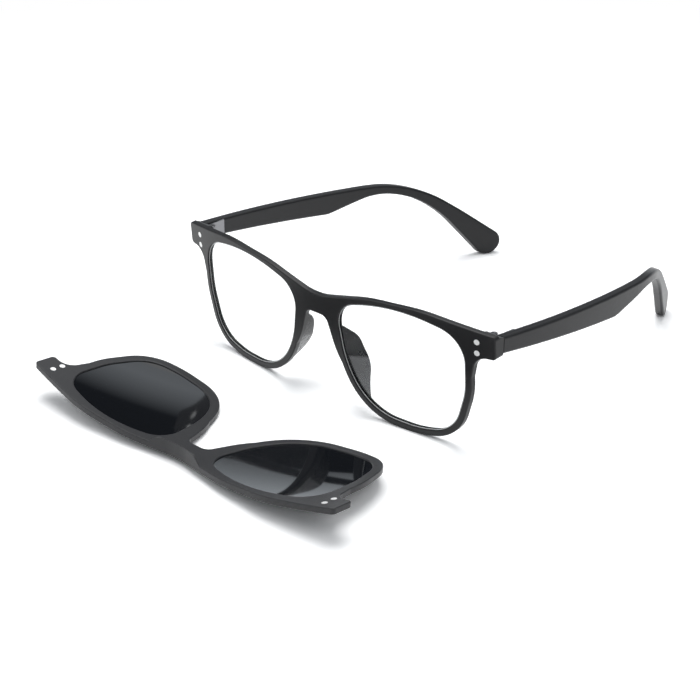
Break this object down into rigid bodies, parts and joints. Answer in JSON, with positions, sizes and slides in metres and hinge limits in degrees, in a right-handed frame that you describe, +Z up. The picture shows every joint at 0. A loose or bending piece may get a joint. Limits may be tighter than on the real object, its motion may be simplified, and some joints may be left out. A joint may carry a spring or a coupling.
{
  "type": "eyeglasses with magnetic sun clip",
  "caption": "Full-rim glasses with folding temples on slotted-screw hinges, and a matching sun clip with a bell-shaped bridge lip that docks on end-piece magnets.",
  "frame": {"origin": "on the floor under the middle of the open glasses and the clip lying before them", "axes": "+X to the wearer's left, +Y back along the temples, +Z up"},
  "size_m": [0.1378, 0.2042, 0.0441],
  "materials": {
    "front_plastic": "matte",
    "temple_plastic": "matte",
    "clear_lens": "polished",
    "pad_plastic": "semi-gloss",
    "hinge_steel": "satin",
    "magnet_nickel": "plated",
    "clip_plastic": "matte",
    "dark_lens": "polished"
  },
  "bodies": {
    "front": {"front_frame": "front_plastic", "lens_right": "clear_lens", "lens_left": "clear_lens", "nose_pad_right": "pad_plastic", "nose_pad_left": "pad_plastic", "hinge_front_right": "hinge_steel", "hinge_front_left": "hinge_steel", "hinge_screw_right": "hinge_steel", "hinge_screw_left": "hinge_steel", "frame_magnet_right_upper": "magnet_nickel", "frame_magnet_right_lower": "magnet_nickel", "frame_magnet_left_upper": "magnet_nickel", "frame_magnet_left_lower": "magnet_nickel"},
    "temple_arm_right": {"temple_right": "temple_plastic", "hinge_temple_right": "hinge_steel"},
    "temple_arm_left": {"temple_left": "temple_plastic", "hinge_temple_left": "hinge_steel"},
    "sun_clip": {"clip_frame": "clip_plastic", "clip_lens_right": "dark_lens", "clip_lens_left": "dark_lens", "clip_magnet_right_upper": "magnet_nickel", "clip_magnet_right_lower": "magnet_nickel", "clip_magnet_left_upper": "magnet_nickel", "clip_magnet_left_lower": "magnet_nickel"}
  },
  "joints": [
    {"name": "temple_fold_left", "type": "hinge", "parent": "front", "child": "temple_arm_left", "pos_m": [0.06305, -0.02413, 0.03704], "axis": [0, 0, 1], "range_deg": [0, 78]},
    {"name": "temple_fold_right", "type": "hinge", "parent": "front", "child": "temple_arm_right", "pos_m": [-0.06305, -0.02413, 0.03704], "axis": [0, 0, -1], "range_deg": [0, 69]},
    {"name": "clip_docking", "type": "hinge", "parent": "front", "child": "sun_clip", "pos_m": [0, -0.04736, -0.01298], "axis": [-1, 0, 0], "range_deg": [0, 81.5]}
  ]
}
